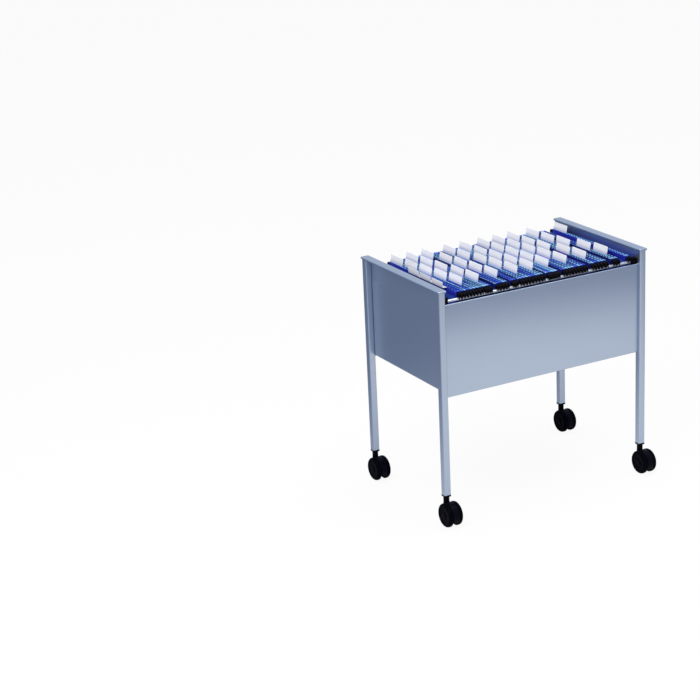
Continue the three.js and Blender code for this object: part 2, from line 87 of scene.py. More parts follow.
def middle_of(node):
    """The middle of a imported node's box."""
    low, high = corners_of(node)
    return (low + high) / 2


class FrameSizes(bpy.types.PropertyGroup):
    """Sheet metal and tubes of the cart's frame."""

    leg_edge: FloatProperty(
        name="Leg edge", description="Radius of the leg tubes' long edges",
        default=3.0 * MM, min=TINY, unit="LENGTH", precision=4)
    leg_wall: FloatProperty(
        name="Leg wall", description="Wall of the leg tubes",
        default=1.5 * MM, min=TINY, unit="LENGTH", precision=4)
    rail_edge: FloatProperty(
        name="Rail edge", description="Radius of the end rails' upper edges",
        default=1.4 * MM, min=TINY, unit="LENGTH", precision=4)
    rail_corner: FloatProperty(
        name="Rail corner", description="Radius of the end rails' corners as seen from above",
        default=2.5 * MM, min=TINY, unit="LENGTH", precision=4)
    rail_wall: FloatProperty(
        name="Rail wall", description="Wall of the end rails",
        default=1.2 * MM, min=TINY, unit="LENGTH", precision=4)
    sheet: FloatProperty(
        name="Sheet", description="Thickness of the folded panels",
        default=1.2 * MM, min=TINY, unit="LENGTH", precision=4)
    bend: FloatProperty(
        name="Bend", description="Radius of the panels' folds, at the middle of the sheet",
        default=1.4 * MM, min=TINY, unit="LENGTH", precision=4)
    panel_foot: FloatProperty(
        name="Panel foot", description="Depth of the fold along the lower edge of the long panels",
        default=10 * MM, min=TINY, unit="LENGTH", precision=4)
    panel_foot_return: FloatProperty(
        name="Foot return", description="Height of the lip behind that fold",
        default=7 * MM, min=TINY, unit="LENGTH", precision=4)
    hem_width: FloatProperty(
        name="Panel hem", description="Distance between the two layers of the long panels' upper hem",
        default=2.2 * MM, min=TINY, unit="LENGTH", precision=4)
    hem_depth: FloatProperty(
        name="Hem depth", description="How far the inner layer of that hem goes down",
        default=13 * MM, min=TINY, unit="LENGTH", precision=4)
    holder_edge: FloatProperty(
        name="Holder edge", description="Radius of the rod holders' edges",
        default=1.5 * MM, min=TINY, unit="LENGTH", precision=4)
    flange_margin: FloatProperty(
        name="Flange margin", description="Distance from a flange's end to the next fold",
        default=8 * MM, min=TINY, unit="LENGTH", precision=4)
    end_foot: FloatProperty(
        name="End panel foot", description="Depth of the fold along the lower edge of the end panels",
        default=5 * MM, min=TINY, unit="LENGTH", precision=4)
    end_drop: FloatProperty(
        name="End panel drop", description="How much lower the end panels go than in the packed model",
        default=4.5 * MM, min=0, unit="LENGTH", precision=4)
    back_lift: FloatProperty(
        name="Back panel lift", description="How much higher the back panel ends below than in the packed model",
        default=9 * MM, min=0, unit="LENGTH", precision=4)
    paint: FloatVectorProperty(
        name="Paint", description="Colour of the silver paint",
        default=(0.46, 0.535, 0.66), size=3, min=0, max=1, subtype="COLOR")


class CasterSizes(bpy.types.PropertyGroup):
    """Twin-wheel casters."""

    wheel_sides: IntProperty(
        name="Wheel sides", description="Facets round a wheel",
        default=72, min=12, max=128)
    wheel_shoulder: FloatProperty(
        name="Wheel shoulder", description="Radius of a wheel's outer edge",
        default=6.4 * MM, min=TINY, unit="LENGTH", precision=4)
    wheel_cap: FloatProperty(
        name="Wheel cap", description="Diameter of the raised cap in the middle of a wheel",
        default=20 * MM, min=TINY, unit="LENGTH", precision=4)
    hub: FloatProperty(
        name="Hub", description="Diameter of a wheel's hub on its inner side",
        default=16 * MM, min=TINY, unit="LENGTH", precision=4)
    hood_edge: FloatProperty(
        name="Hood edge", description="Radius of the hood's rims",
        default=0.9 * MM, min=TINY, unit="LENGTH", precision=4)
    hood_inset: FloatProperty(
        name="Hood inset", description="How much smaller the hood's radius is than the wheels'",
        default=0.4 * MM, min=TINY, unit="LENGTH", precision=4)
    hood_reach: FloatProperty(
        name="Hood reach", description="How far the hood goes round below the axle at its front",
        default=math.radians(28), min=0, max=math.radians(80), subtype="ANGLE")
    neck: FloatProperty(
        name="Neck", description="Diameter of the hood's neck under the leg",
        default=15 * MM, min=TINY, unit="LENGTH", precision=4)
    plastic: FloatVectorProperty(
        name="Plastic", description="Colour of the casters, inserts and rod holders",
        default=(0.002, 0.002, 0.004), size=3, min=0, max=1, subtype="COLOR")


class FileSizes(bpy.types.PropertyGroup):
    """Hanging files."""

    card: FloatProperty(
        name="Card", description="Thickness of the file card",
        default=0.6 * MM, min=TINY, unit="LENGTH", precision=4)
    hem: FloatProperty(
        name="Hem", description="Thickness of the sleeve along each upper edge",
        default=3 * MM, min=TINY, unit="LENGTH", precision=4)
    fold: FloatProperty(
        name="Fold", description="Thickness of the sleeve where it shows, round its strip",
        default=2.1 * MM, min=TINY, unit="LENGTH", precision=4)
    hem_height: FloatProperty(
        name="Hem height", description="Height of that sleeve",
        default=13.8 * MM, min=TINY, unit="LENGTH", precision=4)
    slot_pitch: FloatProperty(
        name="Slot pitch", description="Distance from slot to slot in the top fold",
        default=11 * MM, min=1 * MM, unit="LENGTH", precision=4)
    slot_length: FloatProperty(
        name="Slot length", description="Length of a slot in the top fold",
        default=5 * MM, min=TINY, unit="LENGTH", precision=4)
    slot_depth: FloatProperty(
        name="Slot depth", description="How far a slot goes down into the top fold",
        default=2.2 * MM, min=TINY, unit="LENGTH", precision=4)
    strip: FloatProperty(
        name="Strip", description="Thickness of the strip in a hem",
        default=1.2 * MM, min=TINY, unit="LENGTH", precision=4)
    strip_height: FloatProperty(
        name="Strip height", description="Height of the strip in a hem",
        default=12 * MM, min=TINY, unit="LENGTH", precision=4)
    hook: FloatProperty(
        name="Hook", description="Thickness of the hooks at the strip's ends",
        default=2.2 * MM, min=TINY, unit="LENGTH", precision=4)
    hook_drop: FloatProperty(
        name="Hook drop", description="How much lower the hooks' upper edge is than the strip's",
        default=1.8 * MM, min=0, unit="LENGTH", precision=4)
    beak: FloatProperty(
        name="Beak", description="Thickness of a hook's lower tip",
        default=1.5 * MM, min=TINY, unit="LENGTH", precision=4)
    beak_drop: FloatProperty(
        name="Beak drop", description="How much lower the tip ends than in the packed model",
        default=2 * MM, min=0, unit="LENGTH", precision=4)
    tab_step: FloatProperty(
        name="Tab step", description="Distance from one tab place to the next along a hem",
        default=55 * MM, min=TINY, unit="LENGTH", precision=4)
    spare_tab_height: FloatProperty(
        name="Spare tab height", description="Height of the flopped tabs above the hems",
        default=16 * MM, min=TINY, unit="LENGTH", precision=4)
    spare_tab_reach: FloatProperty(
        name="Spare tab reach", description="How far the flopped tabs reach to the left",
        default=13 * MM, min=TINY, unit="LENGTH", precision=4)
    tab: FloatProperty(
        name="Tab", description="Thickness of the tabs",
        default=0.8 * MM, min=TINY, unit="LENGTH", precision=4)
    tab_corner: FloatProperty(
        name="Tab corner", description="Radius of the tabs' corners",
        default=2.2 * MM, min=TINY, unit="LENGTH", precision=4)
    tab_rim: FloatProperty(
        name="Tab rim", description="Width of the rim round a tab's label",
        default=1.6 * MM, min=TINY, unit="LENGTH", precision=4)
    leaf_blue: FloatVectorProperty(
        name="Leaf blue", description="Colour of the card below the hems",
        default=(0.03, 0.09, 0.50), size=3, min=0, max=1, subtype="COLOR")
    # Painted shade: the sleeves are drawn darker than the leaf blue below them, a little at the two ends of the
    # row and more inside it, where shade falls between the files.
    shaded_sleeve_ends: FloatVectorProperty(
        name="Sleeve blue", description="Colour of the hems' sides at the ends of the row",
        default=(0.013, 0.021, 0.42), size=3, min=0, max=1, subtype="COLOR")
    shaded_sleeve_inside: FloatVectorProperty(
        name="Sleeve shade", description="Colour of the hems' sides inside the row",
        default=(0.004, 0.006, 0.15), size=3, min=0, max=1, subtype="COLOR")
    # Painted highlight: the top folds are drawn paler than the card, as if lit from above; the first colour is
    # the weaker and the second the palest of that highlight.
    highlight_blue: FloatVectorProperty(
        name="Hem blue", description="Colour of the darker top folds",
        default=(0.035, 0.12, 0.85), size=3, min=0, max=1, subtype="COLOR")
    highlight_cyan: FloatVectorProperty(
        name="Hem cyan", description="Colour of the palest top folds",
        default=(0.28, 0.62, 1.0), size=3, min=0, max=1, subtype="COLOR")
    tab_white: FloatVectorProperty(
        name="Tab white", description="Colour of the tabs at their upper edge",
        default=(0.95, 0.95, 1.0), size=3, min=0, max=1, subtype="COLOR")
    tab_shade: FloatVectorProperty(
        name="Tab shade", description="Colour of the tabs at their foot",
        default=(0.42, 0.42, 0.60), size=3, min=0, max=1, subtype="COLOR")


class StageSizes(bpy.types.PropertyGroup):
    """Camera, floor and light."""

    camera_place: FloatVectorProperty(
        name="Camera", description="Where the camera stands",
        default=(-2.399, -3.698, 1.8846), size=3, subtype="XYZ", unit="LENGTH")
    azimuth: FloatProperty(
        name="Azimuth", description="Turn of the camera about the vertical",
        default=math.radians(-27.763), subtype="ANGLE")
    elevation: FloatProperty(
        name="Elevation", description="Tilt of the camera below the horizon",
        default=math.radians(19.12), subtype="ANGLE")
    roll: FloatProperty(
        name="Roll", description="Turn of the camera about its own axis",
        default=math.radians(-2.795), subtype="ANGLE")
    lens: FloatProperty(
        name="Lens", description="Focal length in millimetres on a 36 mm sensor",
        default=94.88, min=1)
    ambient: FloatProperty(
        name="Ambient", description="Strength of the even light from all round",
        default=0.5, min=0)
    key: FloatProperty(
        name="Key", description="Power of the soft light at the upper left",
        default=62, min=0, unit="POWER")
    top: FloatProperty(
        name="Top", description="Power of the soft light overhead",
        default=42, min=0, unit="POWER")


def unit(vectors):
    """Vectors along the last axis, divided by their lengths."""
    return vectors / np.linalg.norm(vectors, axis=-1, keepdims=True)


def arcs(corners, before, after, radius, steps):
    """An arc in place of each corner. Its centre is on the bisector of the two sides, at the radius over
    the sine of half their angle, and it runs from one touching point to the other."""
    half = np.arccos(np.clip((before * after).sum(-1), -1, 1)) / 2
    centre = corners + unit(before + after) * (radius / np.sin(half))[:, None]
    start = corners + before * (radius / np.tan(half))[:, None] - centre
    end = corners + after * (radius / np.tan(half))[:, None] - centre
    turn = np.arctan2(start[:, 0] * end[:, 1] - start[:, 1] * end[:, 0], (start * end).sum(-1))
    angle = turn[:, None] * np.linspace(0, 1, steps + 1)
    across = centre[:, :1] + start[:, :1] * np.cos(angle) - start[:, 1:] * np.sin(angle)
    up = centre[:, 1:] + start[:, :1] * np.sin(angle) + start[:, 1:] * np.cos(angle)
    return np.stack([across, up], axis=-1).reshape(-1, 2)


def rounded(corners, radius, steps=EDGE_STEPS):
    """A closed outline with an arc at every corner. The radius is one for all or one for each."""
    corners = np.asarray(corners, float)
    radii = np.broadcast_to(np.asarray(radius, float), len(corners))
    before = unit(np.roll(corners, 1, axis=0) - corners)
    after = unit(np.roll(corners, -1, axis=0) - corners)
    return arcs(corners, before, after, radii, steps)


def rectangle(left, right, low, high):
    """The corners of a rectangle, counter-clockwise."""
    return np.array([[left, low], [right, low], [right, high], [left, high]])


def circle(middle, radius, sides):
    """Points at equal angles round a middle, counter-clockwise."""
    angle = np.linspace(0, 2 * math.pi, sides, endpoint=False)
    return np.asarray(middle) + radius * np.stack([np.cos(angle), np.sin(angle)], axis=-1)


def bent(path, radius, steps):
    """An open path with an arc at each of its inner corners."""
    path = np.asarray(path, float)
    inner = path[1:-1]
    radii = np.broadcast_to(np.asarray(radius, float), len(inner))
    turns = arcs(inner, unit(path[:-2] - inner), unit(path[2:] - inner), radii, steps)
    return np.vstack([path[:1], turns, path[-1:]])


def sheet_outline(path, thickness):
    """The outline of a sheet round its middle line: the line moved half the thickness to its right, and
    back along the line moved as far to its left, along mitred normals."""
    step = unit(np.diff(path, axis=0))
    into = np.vstack([step[:1], step])
    out = np.vstack([step, step[-1:]])
    along = (into + out) / (1 + (into * out).sum(-1, keepdims=True))
    left = np.stack([-along[:, 1], along[:, 0]], axis=-1) * thickness / 2
    return np.vstack([path - left, (path + left)[::-1]])


def rings(outline, axis, profile):
    """An outline carried along an axis: (y, z) along x, (x, z) along y or (x, y) along z. The profile is a
    list of (inset, station): each ring is the outline moved inwards by the inset, along mitred normals."""
    profile = np.asarray(profile, float)
    ahead = unit(np.roll(outline, -1, axis=0) - outline)
    behind = unit(outline - np.roll(outline, 1, axis=0))
    along = (ahead + behind) / (1 + (ahead * behind).sum(-1, keepdims=True))
    inwards = np.stack([-along[:, 1], along[:, 0]], axis=-1)
    flat = outline + profile[:, :1, None] * inwards
    station = np.broadcast_to(profile[:, 1:], flat.shape[:2])
    order = {
        "x": (station, flat[..., 0], flat[..., 1]),
        "y": (flat[..., 0], station, flat[..., 1]),
        "z": (flat[..., 0], flat[..., 1], station),
    }
    made = np.stack(order[axis], axis=-1)
    return made[::-1] if axis == "y" else made


def rim(edge, start, side, steps=EDGE_STEPS):
    """A quarter circle of (inset, station) pairs at a plate's rim: it starts one edge inside the outline
    and ends on it, one edge further along. The side is 1 to go up from the start, -1 to go down."""
    angle = np.linspace(0, math.pi / 2, steps + 1)
    return np.stack([edge * (1 - np.sin(angle)), start + side * edge * (1 - np.cos(angle))], axis=-1)


def slab(outline, axis, low, high, edge, steps=EDGE_STEPS):
    """A plate between two stations, with both its rims rounded."""
    return rings(outline, axis, np.vstack([rim(edge, low, 1, steps), rim(edge, high, -1, steps)[::-1]]))


class Shell:
    """A mesh in the making: rings of points, joined into quads."""

    def __init__(self):
        self.points = []
        self.faces = []
        self.count = 0

    def add(self, rows, loop=False):
        """Quads join each ring to the next, and flat caps close the ends. With a loop, the last ring joins
        the first instead. Faces look out where a ring runs counter-clockwise as seen from the next one."""
        rows = np.asarray(rows, float)
        index = self.count + np.arange(rows.shape[0] * rows.shape[1]).reshape(rows.shape[:2])
        around = np.hstack([index, index[:, :1]])
        if loop:
            around = np.vstack([around, around[:1]])
        else:
            self.faces += [index[0, ::-1].tolist(), index[-1].tolist()]
        quads = [around[:-1, :-1], around[:-1, 1:], around[1:, 1:], around[1:, :-1]]
        self.faces += np.stack(quads, axis=-1).reshape(-1, 4).tolist()
        self.points.append(rows.reshape(-1, 3))
        self.count += index.size
        return self

    def half_turn(self, x, y):
        """Everything so far turned by half a turn about the vertical through a place."""
        self.points = [points * (-1, -1, 1) + (2 * x, 2 * y, 0) for points in self.points]
        return self


def piece(name, shell, body, slot, material, *nodes):
    """An object made of a shell. It rides on a body and stands for the given nodes."""
    mesh = bpy.data.meshes.new(name)
    mesh.from_pydata(np.vstack(shell.points).tolist(), [], shell.faces)
    mesh.polygons.foreach_set("use_smooth", np.ones(len(mesh.polygons), dtype=bool))
    mesh.set_sharp_from_angle(angle=SHARP_ANGLE)
    mesh.materials.append(material)
    made = bpy.data.objects.new(name, mesh)
    bpy.context.scene.collection.objects.link(made)
    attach(made, body)
    if nodes:
        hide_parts(*nodes)
    return made


class Wire:
    """An output socket of a shader node. Arithmetic with it adds Math nodes to its tree."""

    def __init__(self, tree, socket=None):
        self.tree = tree
        self.socket = socket

    def node(self, kind, settings=None, inputs=None, out=0):
        """A new node with its settings, then the values or links of its sockets; its output as a wire."""
        made = self.tree.nodes.new(kind)
        for name, value in (settings or {}).items():
            setattr(made, name, value)
        for name, value in (inputs or {}).items():
            if isinstance(value, Wire):
                self.tree.links.new(value.socket, made.inputs[name])
            else:
                made.inputs[name].default_value = value
        return Wire(self.tree, made.outputs[out] if made.outputs else None)

    def math(self, operation, first, second):
        return self.node("ShaderNodeMath", {"operation": operation}, {0: first, 1: second})

    def __add__(self, other):
        return self.math("ADD", self, other)

    __radd__ = __add__

    def __sub__(self, other):
        return self.math("SUBTRACT", self, other)

    def __rsub__(self, other):
        return self.math("SUBTRACT", other, self)

    def __mul__(self, other):
        return self.math("MULTIPLY", self, other)

    __rmul__ = __mul__

    def within(self, low, high):
        """Where the value lies between two limits, from 0 to 1, eased at both ends."""
        limits = {"Value": self, "From Min": low, "From Max": high}
        return self.node("ShaderNodeMapRange", {"interpolation_type": "SMOOTHSTEP"}, limits)

    def mix(self, first, second):
        """A colour between two others, with this wire as the share of the second."""
        colours = {0: self, 6: first, 7: second}
        return self.node("ShaderNodeMix", {"data_type": "RGBA"}, colours, out=2)

    def noise(self, scale, detail=2.0):
        """Noise over the coordinates of this wire, about one grain to each 1 / scale metres."""
        return self.node("ShaderNodeTexNoise", None, {"Vector": self, "Scale": scale, "Detail": detail})

    def bump(self, strength, depth):
        """A normal that follows this wire as a height."""
        height = {"Strength": strength, "Distance": depth, "Height": self}
        return self.node("ShaderNodeBump", None, height)


def shade(colour, factor):
    """A colour times a factor, with full alpha."""
    return tuple(min(1.0, part * factor) for part in colour) + (1.0,)


def new_material(name):
    """An empty node material and the wire of its Object coordinates."""
    material = bpy.data.materials.new(name)
    material.use_nodes = True
    material.node_tree.nodes.clear()
    place = Wire(material.node_tree).node("ShaderNodeTexCoord", out="Object")
    return material, place


def cover(place, values):
    """Ends a material in one Principled shader with the given sockets."""
    shader = place.node("ShaderNodeBsdfPrincipled", None, values)
    place.node("ShaderNodeOutputMaterial", None, {"Surface": shader})


def part_of(place, axis):
    """The X, Y or Z coordinate of a place."""
    return place.node("ShaderNodeSeparateXYZ", None, {0: place}, out=axis)


def finish(maker, sizes):
    """The material that a function makes, made on first use and named after it."""
    name = f"cart_{maker.__name__}"
    return bpy.data.materials.get(name) or maker(name, sizes)


def silver_paint(name, sizes):
    """Metallic paint: fine flakes in the colour, a faint orange peel and cloudy differences in gloss."""
    material, place = new_material(name)
    flakes = place.noise(2400.0, 1.0)
    clouds = place.noise(7.0, 3.0)
    peel = place.noise(380.0)
    cover(place, {
        "Base Color": flakes.mix(shade(sizes.paint, 0.93), shade(sizes.paint, 1.07)),
        "Metallic": 0.95,
        "Roughness": 0.27 + 0.05 * flakes + 0.06 * clouds,
        "Specular IOR Level": 0.2,
        "Normal": peel.bump(0.05, 0.15 * MM),
    })
    return material


def moulded_plastic(name, sizes):
    """Black plastic: a fine moulded grain, with cloudy gloss from handling."""
    material, place = new_material(name)
    grain = place.noise(1500.0)
    clouds = place.noise(45.0, 3.0)
    cover(place, {
        "Base Color": clouds.mix(shade(sizes.plastic, 0.8), shade(sizes.plastic, 1.6)),
        "Roughness": 0.34 + 0.12 * clouds,
        "Specular IOR Level": 0.05,
        "Specular Tint": (0.6, 0.65, 1.0, 1),
        "Normal": grain.bump(0.10, 0.12 * MM),
    })
    return material


def wheel_plastic(name, sizes):
    """Hard black tyre plastic: smoother than the hoods, with scuffs where it rolls."""
    material, place = new_material(name)
    scuffs = place.noise(160.0, 4.0)
    cover(place, {
        "Base Color": scuffs.within(0.45, 0.75).mix(shade(sizes.plastic, 0.8), shade(sizes.plastic, 2.0)),
        "Roughness": 0.30 + 0.16 * scuffs,
        "Specular IOR Level": 0.01,
        "Specular Tint": (0.6, 0.65, 1.0, 1),
        "Normal": scuffs.bump(0.06, 0.1 * MM),
    })
    return material


def bright_steel(name, sizes):
    """Plated steel with a fine grain, brighter where its plating is rubbed."""
    material, place = new_material(name)
    grain = place.noise(900.0, 3.0)
    cover(place, {
        "Base Color": grain.mix((0.62, 0.63, 0.69, 1), (0.76, 0.77, 0.83, 1)),
        "Metallic": 0.8,
        "Roughness": 0.22 + 0.10 * grain,
        "Normal": grain.bump(0.05, 0.1 * MM),
    })
    return material


def blue_card(name, sizes):
    """Dyed card: blue leaves, and above them sleeves drawn a deeper blue as painted shade, darker inside the row
    than at its two ends; the top folds pale with a painted highlight, some more than others; with fibres and a
    soft tooth."""
    material, place = new_material(name)
    top = float(corners_of("lift_file_card")[1][2])
    foot = top - sizes.hem_height
    start = float(files_of(BUNDLES[0])[0][0])
    end = float(corners_of("end_file")[0][0])
    up = part_of(place, "Z")
    # Painted highlight along the top millimetre of each fold.
    lit = up.within(top - 1.1 * MM, top - 0.2 * MM)
    # Painted shade on the sleeves, fading in across their foot.
    sleeve = up.within(foot - 3 * MM, foot + 1 * MM)
    across = part_of(place, "X")
    # Painted shade between the files: the sleeves are darker from just inside the first file up to the last one.
    inside = across.within(start + 0.8 * MM, start + 1.6 * MM) - across.within(end - 1 * MM, end)
    # Painted light: the last file's right sleeve is drawn in the paler highlight blue, so that the right end
    # panel mirrors a brighter blue.
    last = across.within(end + sizes.hem, end + 2 * sizes.hem)
    fibres = place.noise(520.0, 4.0)
    clouds = place.noise(28.0, 3.0)
    drawn = place.node("ShaderNodeVectorMath", {"operation": "MULTIPLY"}, {0: place, 1: (1, 0.05, 0)})
    # How strong the painted highlight is on each fold, from noise drawn out along Y.
    highlight_share = (drawn.noise(70.0, 1.0) + 0.2 * fibres).within(0.48, 0.70)
    leaf = clouds.mix(shade(sizes.leaf_blue, 0.85), shade(sizes.leaf_blue, 1.2))
    side = inside.mix(shade(sizes.shaded_sleeve_ends, 1), shade(sizes.shaded_sleeve_inside, 1))
    deep = sleeve.mix(leaf, last.mix(side, shade(sizes.highlight_blue, 1)))
    light = highlight_share.mix(shade(sizes.highlight_blue, 1), shade(sizes.highlight_cyan, 1))
    cover(place, {
        "Base Color": lit.mix(deep, light),
        "Roughness": 0.50 + 0.15 * fibres,
        "Specular IOR Level": 0.4,
        "Normal": fibres.bump(0.12, 0.1 * MM),
    })
    return material


def strip_plastic(name, sizes):
    """Black strips and hooks: glossy moulded plastic with faint flow marks."""
    material, place = new_material(name)
    flow = place.noise(240.0, 3.0)
    cover(place, {
        "Base Color": flow.mix((0.002, 0.002, 0.003, 1), (0.005, 0.005, 0.008, 1)),
        "Roughness": 0.32 + 0.12 * flow,
        "Specular IOR Level": 0.06,
        "Normal": flow.bump(0.05, 0.1 * MM),
    })
    return material


def white_tab(name, sizes):
    """Milky tabs: white at the upper edge, shaded towards the foot, with a faint paper tooth."""
    material, place = new_material(name)
    hem_top = float(corners_of("lift_file_card")[1][2])
    up = part_of(place, "Z").within(hem_top - 4 * MM, hem_top + 11 * MM)
    tooth = place.noise(700.0, 3.0)
    white = tooth.mix(shade(sizes.tab_white, 0.97), shade(sizes.tab_white, 1.03))
    cover(place, {
        "Base Color": up.mix(shade(sizes.tab_shade, 1), white),
        "Roughness": 0.36 + 0.12 * tooth,
        "Normal": tooth.bump(0.05, 0.08 * MM),
    })
    return material


def build_leg(corner, sizes, material):
    """A square tube: the rounded outline carried up, over a softened rim, and down again inside the wall."""
    node = f"{corner}_leg"
    low, high = corners_of(node)
    outline = rounded(rectangle(low[0], high[0], low[1], high[1]), sizes.leg_edge)
    soft = 0.3 * MM
    profile = [
        (soft, low[2]), (0, low[2] + soft), (0, high[2] - soft), (soft, high[2]),
        (sizes.leg_wall, high[2]), (sizes.leg_wall, low[2]),
    ]
    shell = Shell().add(rings(outline, "z", profile), loop=True)
    piece(f"{node}_tube", shell, "frame", "silver_paint", material, node)


def build_end_rail(end, sizes, material):
    """A cap channel: from the hollow's ceiling down its inner wall, out under the lip, up the outside and
    over a quarter-round edge to the flat top."""
    node = f"{end}_end_rail"
    low, high = corners_of(node)
    outline = rounded(rectangle(low[0], high[0], low[1], high[1]), sizes.rail_corner)
    ceiling = high[2] - sizes.rail_wall
    soft = 0.2 * MM
    hollow = [(sizes.rail_wall, ceiling), (sizes.rail_wall, low[2]), (soft, low[2]), (0, low[2] + soft)]
    profile = np.vstack([hollow, rim(sizes.rail_edge, high[2], -1)[::-1]])
    piece(f"{node}_cap", Shell().add(rings(outline, "z", profile)), "frame", "silver_paint", material, node)


def build_end_panel(end, sizes, material):
    """A tray of sheet: the face with two folded sides carried upwards, the plain sheet above them, and the
    folded foot carried along the lower edge. Built at the left, and turned round for the right."""
    node = f"{end}_end_panel"
    low, high = corners_of("left_end_panel")
    low[2] -= sizes.end_drop
    side_top = corners_of("front_panel")[1][2] - sizes.hem_depth - sizes.flange_margin
    half = sizes.sheet / 2
    face = low[0] + half
    foot_top = low[2] + sizes.end_foot
    sides = [(high[0], low[1] + half), (face, low[1] + half), (face, high[1] - half), (high[0], high[1] - half)]
    tray = sheet_outline(bent(sides[::-1], sizes.bend, EDGE_STEPS), sizes.sheet)
    foot = [(low[0] + sizes.end_foot, low[2] + half), (face, low[2] + half), (face, foot_top)]
    fold = sheet_outline(bent(foot, sizes.bend, EDGE_STEPS)[::-1], sizes.sheet)
    upper = rounded(rectangle(low[0], low[0] + sizes.sheet, low[1], high[1]), 0.3 * MM, 2)
    shell = Shell()
    shell.add(rings(tray, "z", [(0, foot_top), (0, side_top)]))
    shell.add(rings(upper, "z", [(0, side_top), (0, high[2])]))
    shell.add(rings(fold, "y", [(0, low[1] + sizes.sheet), (0, high[1] - sizes.sheet)]))
    if end == "right":
        middle = (low + high) / 2
        shell.half_turn(0, middle[1])
    piece(f"{node}_sheet", shell, "frame", "silver_paint", material, node)


def build_long_panel(side, sizes, material):
    """One sheet whose folded section is carried along X: foot, face and hem, with a flange at each end.
    Built at the front, and turned round for the back, where it ends a little higher below."""
    node = f"{side}_panel"
    low, high = corners_of("front_panel")
    if side == "back":
        low[2] += sizes.back_lift
    half = sizes.sheet / 2
    face = low[1] + half
    hem = face + sizes.hem_width
    bottom = low[2] + half
    top = high[2] - half
    hem_foot = high[2] - sizes.hem_depth
    path = [
        (hem, hem_foot),
        (hem, top),
        (face, top),
        (face, bottom),
        (face + sizes.panel_foot, bottom),
        (face + sizes.panel_foot, low[2] + sizes.panel_foot_return),
    ]
    tight = sizes.hem_width / 2 - 0.1 * MM
    radii = [tight, tight, sizes.bend, sizes.bend]
    section = sheet_outline(bent(path, radii, EDGE_STEPS), sizes.sheet)
    shell = Shell().add(rings(section, "x", [(0, low[0]), (0, high[0])]))
    start = low[2] + sizes.panel_foot_return + sizes.flange_margin
    end = hem_foot - sizes.flange_margin
    flange = rounded(rectangle(face + half, hem + half, start, end), 1 * MM)
    for left in (low[0], high[0] - sizes.sheet):
        shell.add(slab(flange, "x", left, left + sizes.sheet, 0.2 * MM, 2))
    if side == "back":
        shell.half_turn(0, (high[1] + corners_of("back_panel")[0][1]) / 2)
    piece(f"{node}_folded_sheet", shell, "frame", "silver_paint", material, node)


def build_rod(side, material):
    """A round rod along X with softened ends."""
    node = f"{side}_hanging_rod"
    low, high = corners_of(node)
    section = circle(middle_of(node)[1:], (high[2] - low[2]) / 2, 32)
    shell = Shell().add(slab(section, "x", low[0], high[0], 0.5 * MM))
    piece(f"{node}_bar", shell, "frame", "steel", material, node)


def build_rod_holder(side, end, sizes, material):
    """A block with rounded edges and a blind bore: from its outer face along the outline to its mouth, in
    to a circle round the rod, and along that to the bore's floor. Built at the left, and turned round for
    the right."""
    node = f"{side}_{end}_rod_holder"
    other = "back" if side == "front" else "front"
    source = side if end == "left" else other
    low, high = corners_of(f"{source}_left_rod_holder")
    rod_low, rod_high = corners_of(f"{source}_hanging_rod")
    rod = (rod_low + rod_high) / 2
    outline = rounded(rectangle(low[1], high[1], low[2], high[2]), sizes.holder_edge)
    bore = rod[1:] + unit(outline - rod[1:]) * ((rod_high[2] - rod_low[2]) / 2 + 0.2 * MM)
    block = slab(outline, "x", low[0], high[0], 0.5 * MM)
    hollow = rings(bore, "x", [(0, high[0]), (0, rod_low[0] - 0.2 * MM)])
    shell = Shell().add(np.concatenate([block, hollow]))
    if end == "right":
        shell.half_turn(0, middle_of("front_panel")[1] / 2 + middle_of("back_panel")[1] / 2)
    piece(f"{node}_block", shell, "frame", "black_plastic", material, node)


def build_insert(corner, material):
    """The plug in a leg: a rounded flange under the tube and a spigot inside it."""
    node = f"{corner}_leg_insert"
    low, high = corners_of(node)
    leg = corners_of(f"{corner}_leg")[0][2]
    wall = 1.8 * MM
    outline = rounded(rectangle(low[0], high[0], low[1], high[1]), 1.8 * MM)
    flange = rim(0.6 * MM, low[2], 1)
    spigot = [(0, leg - 0.2 * MM), (wall, leg - 0.2 * MM), (wall, high[2] - 1 * MM), (wall + 1 * MM, high[2])]
    shell = Shell().add(rings(outline, "z", np.vstack([flange, spigot])))
    piece(f"{node}_plug", shell, "frame", "black_plastic", material, node)


def build_hood(corner, sizes, material):
    """A slice of a drum with rounded rims, carried along the axle, and a neck turned about the stem that
    narrows by half a cosine wave above the drum."""
    node = f"{corner}_caster_hood"
    low, high = corners_of(node)
    axle = middle_of(f"{corner}_caster_axle")
    stem = middle_of(f"{corner}_caster_stem")
    wheel_low, wheel_high = corners_of(f"{corner}_right_wheel")
    radius = (wheel_high[2] - wheel_low[2]) / 2 - sizes.hood_inset
    angle = np.linspace(math.radians(-20), math.pi + sizes.hood_reach, 48)
    drum = axle[1:] + radius * np.stack([np.cos(angle), np.sin(angle)], axis=-1)
    shell = Shell().add(slab(drum, "x", low[0], high[0], sizes.hood_edge))
    foot = (high[0] - low[0]) / 2 - 0.5 * MM
    trail = stem[1] - axle[1]
    shoulder = axle[2] + math.sqrt(radius ** 2 - trail ** 2)
    share = np.linspace(0, 1, 9)
    narrowing = (foot - sizes.neck / 2) * (1 - np.cos(math.pi * share)) / 2
    waist = np.stack([narrowing, shoulder + 0.7 * foot * share], axis=-1)
    collar = foot - sizes.neck / 2
    profile = np.vstack([
        [(0, axle[2])], waist, [(collar, high[2] - 0.4 * MM), (collar + 0.4 * MM, high[2])],
    ])
    shell.add(rings(circle(stem[:2], foot, 40), "z", profile))
    piece(f"{node}_cover", shell, f"{corner}_swivel", "black_plastic", material, node)


